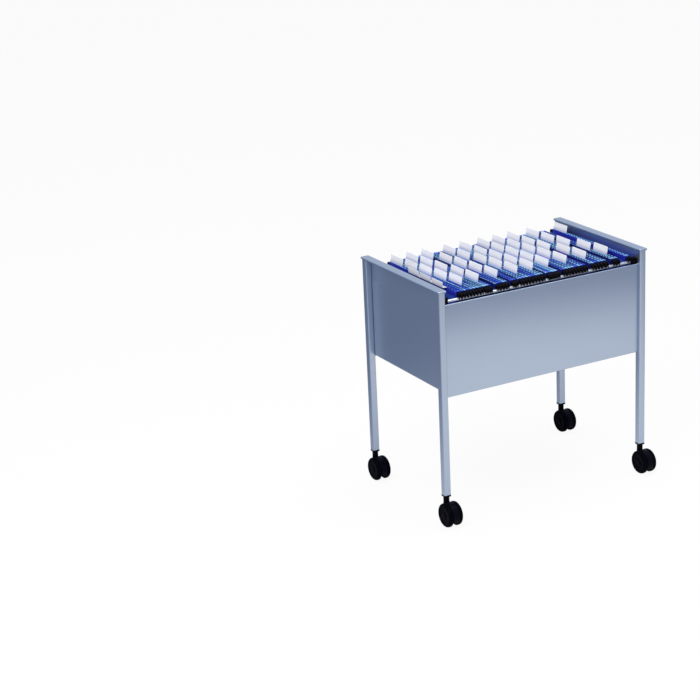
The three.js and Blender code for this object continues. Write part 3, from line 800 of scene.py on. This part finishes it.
def wheel_profile(radius, inner, outer, sizes):
    """(inset, station) pairs across a wheel, from the hub on its inner side over the rim, the tread and the
    rounded shoulders to the dished outer face with its cap."""
    hub = radius - sizes.hub / 2
    cap = radius - sizes.wheel_cap / 2
    rim_wall = 5 * MM
    web = outer - 3 * MM
    lip = sizes.wheel_shoulder
    inside = [
        (radius - 2.8 * MM, inner), (hub, inner), (hub, web), (rim_wall, web), (rim_wall, inner + 0.3 * MM),
    ]
    face = [
        (lip + 0.8 * MM, outer), (lip + 1.2 * MM, outer - 0.5 * MM), (lip + 1.8 * MM, outer - 0.6 * MM),
        (cap - 1.2 * MM, outer - 1.3 * MM), (cap - 0.5 * MM, outer - 1.3 * MM), (cap, outer - 0.7 * MM),
        (cap + 0.8 * MM, outer - 0.4 * MM), (radius - 2 * MM, outer - 0.2 * MM),
    ]
    return np.vstack([
        inside,
        rim(1.2 * MM, inner, 1),
        rim(sizes.wheel_shoulder, outer, -1, 6)[::-1],
        face,
    ])


def build_wheel(corner, side, sizes, material):
    """A wheel turned about the axle. Built for the right, and turned round for the left."""
    node = f"{corner}_{side}_wheel"
    low, high = corners_of(f"{corner}_right_wheel")
    axle = middle_of(f"{corner}_caster_axle")
    radius = (high[2] - low[2]) / 2
    tread = circle(axle[1:], radius, sizes.wheel_sides)
    shell = Shell().add(rings(tread, "x", wheel_profile(radius, low[0], high[0], sizes)))
    if side == "left":
        shell.half_turn(axle[0], axle[1])
    piece(f"{node}_tyre", shell, f"{node}_body", "wheel_plastic", material, node)


def slot_stations(low, high, sizes):
    """Places along a hem and whether the top fold is cut there: four for each slot, just before and at its
    start, at its end and just after, with as many slots as fit."""
    count = int((high - low - sizes.slot_pitch) / sizes.slot_pitch)
    middle = (low + high) / 2
    starts = middle + sizes.slot_pitch * (np.arange(count) - (count - 1) / 2) - sizes.slot_length / 2
    offsets = np.array([-TINY, 0, sizes.slot_length, sizes.slot_length + TINY])
    stations = np.concatenate([[low], (starts[:, None] + offsets).ravel(), [high]])
    cut = np.concatenate([[False], np.tile([False, True, True, False], count), [False]])
    return stations, cut


def hem_rows(left, sizes):
    """A sleeve of card along Y: a bar with a round top fold, whose points above the slot's floor come down
    to it wherever a slot is cut."""
    low, high = corners_of("lift_file_card")
    foot = high[2] - sizes.hem_height
    middle = left + sizes.hem / 2
    corners = rectangle(middle - sizes.fold / 2, middle + sizes.fold / 2, foot, high[2])
    bend = 0.45 * sizes.fold
    outline = rounded(corners, [sizes.card, sizes.card, bend, bend], 3)
    stations, cut = slot_stations(low[1], high[1], sizes)
    floor = np.where(cut, high[2] - sizes.slot_depth, high[2])[:, None]
    across = np.broadcast_to(outline[:, 0], (len(stations), len(outline)))
    along = np.broadcast_to(stations[:, None], across.shape)
    return np.stack([across, along, np.minimum(outline[:, 1], floor)], axis=-1)[::-1]


def leaf_rows(left, right, sizes):
    """The two leaves of a file: a V of card from one hem down to the round fold and up to the other."""
    low, high = corners_of("lift_file_card")
    foot = high[2] - sizes.hem_height + 0.5 * MM
    middle = (left + right) / 2
    inset = sizes.hem / 2 - sizes.card / 2
    fold = 1.3 * MM
    bottom = low[2] + sizes.card / 2
    path = [(left + inset, foot), (middle - fold, bottom), (middle + fold, bottom), (right - inset, foot)]
    outline = sheet_outline(bent(path, 1 * MM, 3), sizes.card)
    return rings(outline, "y", [(0, low[1]), (0, high[1])])


def add_card(shell, left, right, sizes):
    """One file's card: its leaves and the hem along each upper edge."""
    shell.add(leaf_rows(left, right, sizes))
    for hem in (left, right - sizes.hem):
        shell.add(hem_rows(hem, sizes))


def hook_outline(sizes):
    """The front hook from the side: an arm out of the hem, a rounded nose and a beak before the rod."""
    low, high = corners_of("lift_file_left_strip")
    card_low, _ = corners_of("lift_file_card")
    rod_low, rod_high = corners_of("front_hanging_rod")
    front = rod_low[1] - 0.6 * MM
    back = rod_high[1] + 0.6 * MM
    seat = rod_high[2] + 0.3 * MM
    tip = low[2] - sizes.beak_drop
    top = high[2] - sizes.hook_drop
    arm = high[2] - sizes.strip_height
    root = card_low[1] + 1 * MM
    corners = [
        (root, top), (low[1], top), (low[1], tip), (front, tip),
        (front, seat), (back, seat), (back, arm), (root, arm),
    ]
    radii = np.array([0.1, 6.0, 0.7, 0.5, 0.4, 0.3, 0.3, 0.1]) * MM
    return rounded(corners, radii, 4)


def add_strip(shell, middle, sizes):
    """One strip: a bar through the hem, which shows in the slots, and a hook at each end. Below the rod's
    top, a hook narrows to its beak."""
    card_low, card_high = corners_of("lift_file_card")
    low, high = corners_of("lift_file_left_strip")
    rod_top = corners_of("front_hanging_rod")[1][2]
    half = sizes.strip / 2
    outline = rounded(rectangle(middle - half, middle + half, high[2] - sizes.strip_height, high[2]), 0.3 * MM, 2)
    shell.add(rings(outline, "y", [(0, card_low[1] - 0.5 * MM), (0, card_high[1] + 0.5 * MM)]))
    front = slab(hook_outline(sizes), "x", middle - sizes.hook / 2, middle + sizes.hook / 2, 0.7 * MM, 3)
    beak = np.interp(front[..., 2], [rod_top, rod_top + 3.5 * MM], [sizes.beak / sizes.hook, 1])
    front[..., 0] = middle + (front[..., 0] - middle) * beak
    centre = (low[1] + high[1]) / 2
    shell.add(front)
    shell.add(front * (-1, -1, 1) + (2 * middle, 2 * centre, 0))


def tab_rows(left, middle_y, sizes):
    """A leaning tab: a rounded plate with a rim round a sunk label on both faces, pushed to the right in
    proportion to the height above its foot."""
    low, high = corners_of("lift_file_tab")
    hem_top = corners_of("lift_file_card")[1][2]
    lean = (high[0] - low[0] - sizes.tab) / (high[2] - hem_top)
    half = (high[1] - low[1]) / 2
    radii = [0.3 * MM, 0.3 * MM, sizes.tab_corner, sizes.tab_corner]
    outline = rounded(rectangle(middle_y - half, middle_y + half, low[2], high[2]), radii)
    sunk = [(sizes.tab_rim + 0.2 * MM, 0.15 * MM), (sizes.tab_rim, 0), (0.2 * MM, 0), (0, 0.2 * MM)]
    front = np.array(sunk)
    back = front[::-1] * (1, -1) + (0, sizes.tab)
    rows = rings(outline, "x", np.vstack([front, back]) + (0, left))
    rows[..., 0] += lean * np.maximum(rows[..., 2] - hem_top, 0)
    return rows


def folded_tab_rows(left, middle_y, sizes):
    """A tab that has flopped over: a sheet carried along Y, which lies to the left and is folded upright at
    its end."""
    low, high = corners_of("lift_file_tab")
    hem_top = corners_of("lift_file_card")[1][2]
    half = (high[1] - low[1]) / 2 - 4 * MM
    end = left - sizes.spare_tab_reach + sizes.tab / 2
    path = [
        (left, hem_top + sizes.tab),
        (end, hem_top + 2 * sizes.tab),
        (end, hem_top + sizes.spare_tab_height),
    ]
    section = sheet_outline(bent(path[::-1], 1.2 * MM, 4), sizes.tab)
    return rings(section, "y", [(0, middle_y - half), (0, middle_y + half)])


def tab_middle(place, sizes):
    """The middle of one of the tab places along a hem, counted from the back. The file that lifts out has
    its tab in the last one."""
    return middle_of("lift_file_tab")[1] + sizes.tab_step * (TAB_PLACES - 1 - place)


def files_of(body):
    """The (left, right) limits of each file of a bundle, from the counts in its nodes' names and the
    nodes' points below the hems, where no tab reaches out."""
    limits = []
    hem_top = corners_of("lift_file_card")[1][2]
    for node in BODIES[body]:
        made = frame["nodes"][node]
        points = np.empty(3 * len(made.data.vertices), dtype=np.float32)
        made.data.vertices.foreach_get("co", points)
        turn = np.array(made.matrix_world)
        points = points.reshape(-1, 3) @ turn[:3, :3].T + turn[:3, 3]
        across = points[points[:, 2] < hem_top - 1 * MM, 0]
        first, last = (int(number) for number in re.findall(r"\d+", node)[-2:])
        edges = np.linspace(across.min(), across.max(), last - first + 2)
        limits += list(zip(edges[:-1], edges[1:]))
    return limits


def build_bundle(body, first_place, sizes, card, strip, tab):
    """The files of one bundle: their cards, their strips with hooks and their tabs. Returns how many. The
    first bundle has spare tabs that have flopped over."""
    limits = files_of(body)
    cards, strips, tabs = Shell(), Shell(), Shell()
    for number, (left, right) in enumerate(limits):
        add_card(cards, left, right, sizes)
        add_strip(strips, left + sizes.hem / 2, sizes)
        add_strip(strips, right - sizes.hem / 2, sizes)
        middle_y = tab_middle((first_place + number) % TAB_PLACES, sizes)
        tabs.add(tab_rows(left + sizes.hem / 2 - sizes.tab / 2, middle_y, sizes))
    if body == BUNDLES[0]:
        for place in SPARE_TABS:
            tabs.add(folded_tab_rows(limits[0][0] + 0.3 * MM, tab_middle(place, sizes), sizes))
    piece(f"{body}_cards", cards, body, "file_card", card, *BODIES[body])
    piece(f"{body}_strips", strips, body, "strip_plastic", strip)
    piece(f"{body}_tabs", tabs, body, "tab_plastic", tab)
    return len(limits)


class FILE_CART_OT_build_frame(bpy.types.Operator):
    """Build the legs and end rails"""

    bl_idname = "file_cart.build_frame"
    bl_label = "Legs and end rails"

    def execute(self, context):
        sizes = context.scene.cart_frame
        paint = finish(silver_paint, sizes)
        for corner in CORNERS:
            build_leg(corner, sizes, paint)
        for end in ("left", "right"):
            build_end_rail(end, sizes, paint)
        return {"FINISHED"}


class FILE_CART_OT_build_panels(bpy.types.Operator):
    """Build the folded end panels and the front and back panels"""

    bl_idname = "file_cart.build_panels"
    bl_label = "Folded panels"

    def execute(self, context):
        sizes = context.scene.cart_frame
        paint = finish(silver_paint, sizes)
        for end in ("left", "right"):
            build_end_panel(end, sizes, paint)
        for side in ("front", "back"):
            build_long_panel(side, sizes, paint)
        return {"FINISHED"}


class FILE_CART_OT_build_rods(bpy.types.Operator):
    """Build the hanging rods and the holders at their ends"""

    bl_idname = "file_cart.build_rods"
    bl_label = "Hanging rods"

    def execute(self, context):
        steel = finish(bright_steel, context.scene.cart_casters)
        black = finish(moulded_plastic, context.scene.cart_casters)
        for side in ("front", "back"):
            build_rod(side, steel)
            for end in ("left", "right"):
                build_rod_holder(side, end, context.scene.cart_frame, black)
        return {"FINISHED"}


class FILE_CART_OT_build_casters(bpy.types.Operator):
    """Build the leg inserts, caster hoods and wheels, and finish the steel stems and axles"""

    bl_idname = "file_cart.build_casters"
    bl_label = "Casters"

    def execute(self, context):
        sizes = context.scene.cart_casters
        black = finish(moulded_plastic, sizes)
        tyre = finish(wheel_plastic, sizes)
        steel = finish(bright_steel, sizes)
        for corner in CORNERS:
            build_insert(corner, black)
            build_hood(corner, sizes, black)
            for side in ("left", "right"):
                build_wheel(corner, side, sizes, tyre)
            for pin in ("stem", "axle"):
                materials = frame["nodes"][f"{corner}_caster_{pin}"].data.materials
                materials.clear()
                materials.append(steel)
        return {"FINISHED"}


class FILE_CART_OT_build_bundles(bpy.types.Operator):
    """Build the bundles of hanging files"""

    bl_idname = "file_cart.build_bundles"
    bl_label = "Bundles of files"

    def execute(self, context):
        sizes = context.scene.cart_files
        card = finish(blue_card, sizes)
        strip = finish(strip_plastic, sizes)
        tab = finish(white_tab, sizes)
        place = 0
        for body in BUNDLES:
            place += build_bundle(body, place, sizes, card, strip, tab)
        return {"FINISHED"}


class FILE_CART_OT_build_single_files(bpy.types.Operator):
    """Build the file that lifts out and the last file"""

    bl_idname = "file_cart.build_single_files"
    bl_label = "Single files"

    def execute(self, context):
        sizes = context.scene.cart_files
        card = finish(blue_card, sizes)
        strip = finish(strip_plastic, sizes)
        tab = finish(white_tab, sizes)
        for body, node in (("lift_file", "lift_file_card"), ("end_file", "end_file")):
            low, high = corners_of(node)
            shell = Shell()
            add_card(shell, low[0], high[0], sizes)
            piece(f"{body}_folded_card", shell, body, "file_card", card, node)
            for side, middle in (("left", low[0] + sizes.hem / 2), ("right", high[0] - sizes.hem / 2)):
                shell = Shell()
                add_strip(shell, middle, sizes)
                nodes = [f"{body}_{side}_strip"] if body == "lift_file" else []
                piece(f"{body}_{side}_hook_strip", shell, body, "strip_plastic", strip, *nodes)
        low, high = corners_of("lift_file_tab")
        shell = Shell().add(tab_rows(low[0], (low[1] + high[1]) / 2, sizes))
        piece("lift_file_leaning_tab", shell, "lift_file", "tab_plastic", tab, "lift_file_tab")
        left = corners_of("end_file")[0][0] + sizes.hem / 2 - sizes.tab / 2
        shell = Shell().add(tab_rows(left, tab_middle(0, sizes), sizes))
        piece("end_file_leaning_tab", shell, "end_file", "tab_plastic", tab)
        return {"FINISHED"}


def seen_rays(wire):
    """1 for rays from the camera and for mirrored and transmitted ones, which show the background."""
    kinds = ("Is Camera Ray", "Is Glossy Ray", "Is Transmission Ray")
    rays = [wire.node("ShaderNodeLightPath", out=kind) for kind in kinds]
    return rays[0] + rays[1] + rays[2], rays[1]


def build_floor():
    """A pale floor. It is white to the camera but for the shadow of the cart, and in mirrored rays it is a
    pool of light that falls off with the distance from its middle."""
    half = 12.0
    mesh = bpy.data.meshes.new("studio_floor")
    corners = np.column_stack([rectangle(-half, half, -half, half), np.zeros(4)])
    mesh.from_pydata(corners.tolist(), [], [[0, 1, 2, 3]])
    material, place = new_material("studio_floor")
    seen, mirrored = seen_rays(place)
    distance = {0: place, 1: POOL_MIDDLE}
    shifted = place.node("ShaderNodeVectorMath", {"operation": "DISTANCE"}, distance, out="Value")
    near = 1 - shifted.within(*POOL_EDGE)
    pool = near.mix(POOL_FAR, POOL_NEAR)
    colour = mirrored.mix((1, 1, 1, 1), pool)
    glow = place.node("ShaderNodeEmission", None, {"Color": colour, "Strength": 1.0})
    paper = place.node("ShaderNodeBsdfDiffuse", None, {"Color": (0.85, 0.85, 0.85, 1)})
    mixed = place.node("ShaderNodeMixShader", None, {0: 0.93 * seen, 1: paper, 2: glow})
    place.node("ShaderNodeOutputMaterial", None, {"Surface": mixed})
    mesh.materials.append(material)
    floor = bpy.data.objects.new("studio_floor", mesh)
    bpy.context.scene.collection.objects.link(floor)


def build_world(ambient):
    """White to the camera, a pale backdrop in reflections, an even grey light otherwise."""
    world = bpy.data.worlds.new("studio")
    bpy.context.scene.world = world
    world.use_nodes = True
    world.node_tree.nodes.clear()
    wire = Wire(world.node_tree)
    seen, mirrored = seen_rays(wire)
    strength = ambient + (1 - ambient) * seen
    colour = mirrored.mix((1, 1, 1, 1), PALE_SKY)
    sky = wire.node("ShaderNodeBackground", None, {"Color": colour, "Strength": strength})
    wire.node("ShaderNodeOutputWorld", None, {"Surface": sky})


def soft_light(name, place, target, size, power):
    """A square lamp at a place, facing a target."""
    lamp = bpy.data.lights.new(name, "AREA")
    lamp.size = size
    lamp.energy = power
    made = bpy.data.objects.new(name, lamp)
    bpy.context.scene.collection.objects.link(made)
    direction = Matrix.Translation(place).translation - Matrix.Translation(target).translation
    made.matrix_world = Matrix.Translation(place) @ direction.to_track_quat("Z", "Y").to_matrix().to_4x4()


class FILE_CART_OT_set_stage(bpy.types.Operator):
    """Set the camera, the floor and the light"""

    bl_idname = "file_cart.set_stage"
    bl_label = "Stage"

    def execute(self, context):
        stage = context.scene.cart_stage
        camera = bpy.data.cameras.new("camera")
        camera.sensor_width = 36
        camera.lens = stage.lens
        made = bpy.data.objects.new("camera", camera)
        context.scene.collection.objects.link(made)
        turn = Matrix.Rotation(stage.azimuth, 4, "Z")
        tilt = Matrix.Rotation(math.pi / 2 - stage.elevation, 4, "X")
        roll = Matrix.Rotation(stage.roll, 4, "Z")
        made.matrix_world = Matrix.Translation(stage.camera_place) @ turn @ tilt @ roll
        context.scene.camera = made
        context.scene.view_settings.view_transform = "Standard"
        build_floor()
        build_world(stage.ambient)
        soft_light("key_light", (-2.2, -1.2, 2.8), (0, 0, 0.5), 1.8, stage.key)
        soft_light("top_light", (0.4, -0.2, 3.0), (0, 0, 0.5), 2.2, stage.top)
        return {"FINISHED"}


OPERATORS = (
    FILE_CART_OT_set_stage,
    FILE_CART_OT_build_frame,
    FILE_CART_OT_build_panels,
    FILE_CART_OT_build_rods,
    FILE_CART_OT_build_casters,
    FILE_CART_OT_build_bundles,
    FILE_CART_OT_build_single_files,
)


class FILE_CART_PT_pieces(bpy.types.Panel):
    """The cart's pieces, in the order in which they are built"""

    bl_idname = "FILE_CART_PT_pieces"
    bl_label = "Mobile file cart"
    bl_space_type = "VIEW_3D"
    bl_region_type = "UI"
    bl_category = "File cart"

    def draw(self, context):
        for operator in OPERATORS:
            self.layout.operator(operator.bl_idname)


GROUPS = {
    "cart_frame": FrameSizes,
    "cart_casters": CasterSizes,
    "cart_files": FileSizes,
    "cart_stage": StageSizes,
}


def register():
    """Registers the sizes, operators and panel."""
    for name, group in GROUPS.items():
        bpy.utils.register_class(group)
        setattr(bpy.types.Scene, name, PointerProperty(type=group))
    for made in (*OPERATORS, FILE_CART_PT_pieces):
        bpy.utils.register_class(made)


def unregister():
    """Takes back what register did."""
    for made in (FILE_CART_PT_pieces, *reversed(OPERATORS)):
        bpy.utils.unregister_class(made)
    for name, group in GROUPS.items():
        delattr(bpy.types.Scene, name)
        bpy.utils.unregister_class(group)


def main():
    """Builds the cart and its stage."""
    register()
    for operator in OPERATORS:
        getattr(bpy.ops.file_cart, operator.bl_idname.split(".")[1])()
    bpy.context.view_layer.update()


if __name__ == "__main__":
    main()
